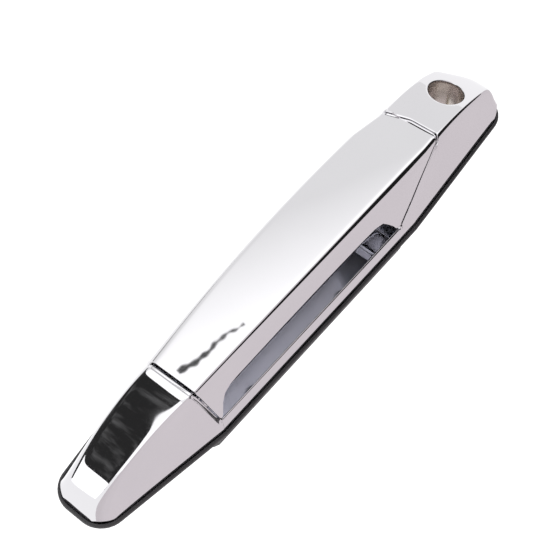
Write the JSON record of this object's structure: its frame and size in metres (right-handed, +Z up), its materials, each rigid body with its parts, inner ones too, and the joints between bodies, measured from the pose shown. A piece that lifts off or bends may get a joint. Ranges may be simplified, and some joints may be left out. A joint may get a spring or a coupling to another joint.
{
  "type": "exterior car door handle",
  "caption": "Chrome pull handle for a truck door: bezel with finger cup and key hole, hinged paddle, return spring and a lever that pulls the latch rod.",
  "frame": {"origin": "midpoint between the two mounting studs' axes, on the outer face of the door skin where the gasket seats", "axes": "+X along the handle towards the key end, +Y into the door along the studs, +Z up"},
  "size_m": [0.2776, 0.0903, 0.0523],
  "materials": {
    "chrome_bezel": "mirror chrome plate on moulded plastic",
    "chrome_paddle": "mirror chrome plate on moulded plastic",
    "gasket_rubber": "moulded rubber, satin",
    "black_plastic": "glass-filled nylon, fine grain",
    "zinc_steel": "bright zinc plate",
    "yellow_zinc": "yellow zinc plate",
    "black_steel": "black phosphate",
    "spring_steel": "oiled spring wire",
    "acetal": "natural acetal"
  },
  "bodies": {
    "housing": {"bezel": "chrome_bezel", "gasket": "gasket_rubber", "chassis": "black_plastic", "hook_bracket": "zinc_steel", "hook_screws": "zinc_steel", "bezel_screws": "black_steel", "mounting_studs": "yellow_zinc", "hinge_pin": "zinc_steel", "pin_clips": "black_steel", "return_spring": "spring_steel", "bump_stop": "gasket_rubber", "bellcrank_pin": "zinc_steel", "bellcrank_clip": "black_steel", "bellcrank_spring": "spring_steel"},
    "paddle": {"paddle_shell": "chrome_paddle", "paddle_carrier": "chrome_paddle", "carrier_screws": "black_steel", "hinge_bushes": "acetal"},
    "lever": {"bellcrank": "yellow_zinc"},
    "clip": {"rod_clip": "acetal"}
  },
  "joints": [
    {"name": "paddle_hinge", "type": "hinge", "parent": "housing", "child": "paddle", "pos_m": [0, 0.005, 0.0125], "axis": [-1, 0, 0], "range_deg": [0, 25], "stiffness_Nm_per_rad": 0.35, "springref_deg": -20.05, "deforming": ["return_spring"]},
    {"name": "lever_pivot", "type": "hinge", "parent": "housing", "child": "lever", "pos_m": [0.02, 0.0285, 0.0045], "axis": [1, 0, 0], "range_deg": [0, 26], "deforming": ["bellcrank_spring"]},
    {"name": "clip_swivel", "type": "hinge", "parent": "lever", "child": "clip", "pos_m": [0.03, 0.04541, -0.00166], "axis": [1, 0, 0], "range_deg": [-30, 30]}
  ],
  "couplings": [
    {"joint": "lever_pivot", "follows": "paddle_hinge", "ratio": 1}
  ]
}
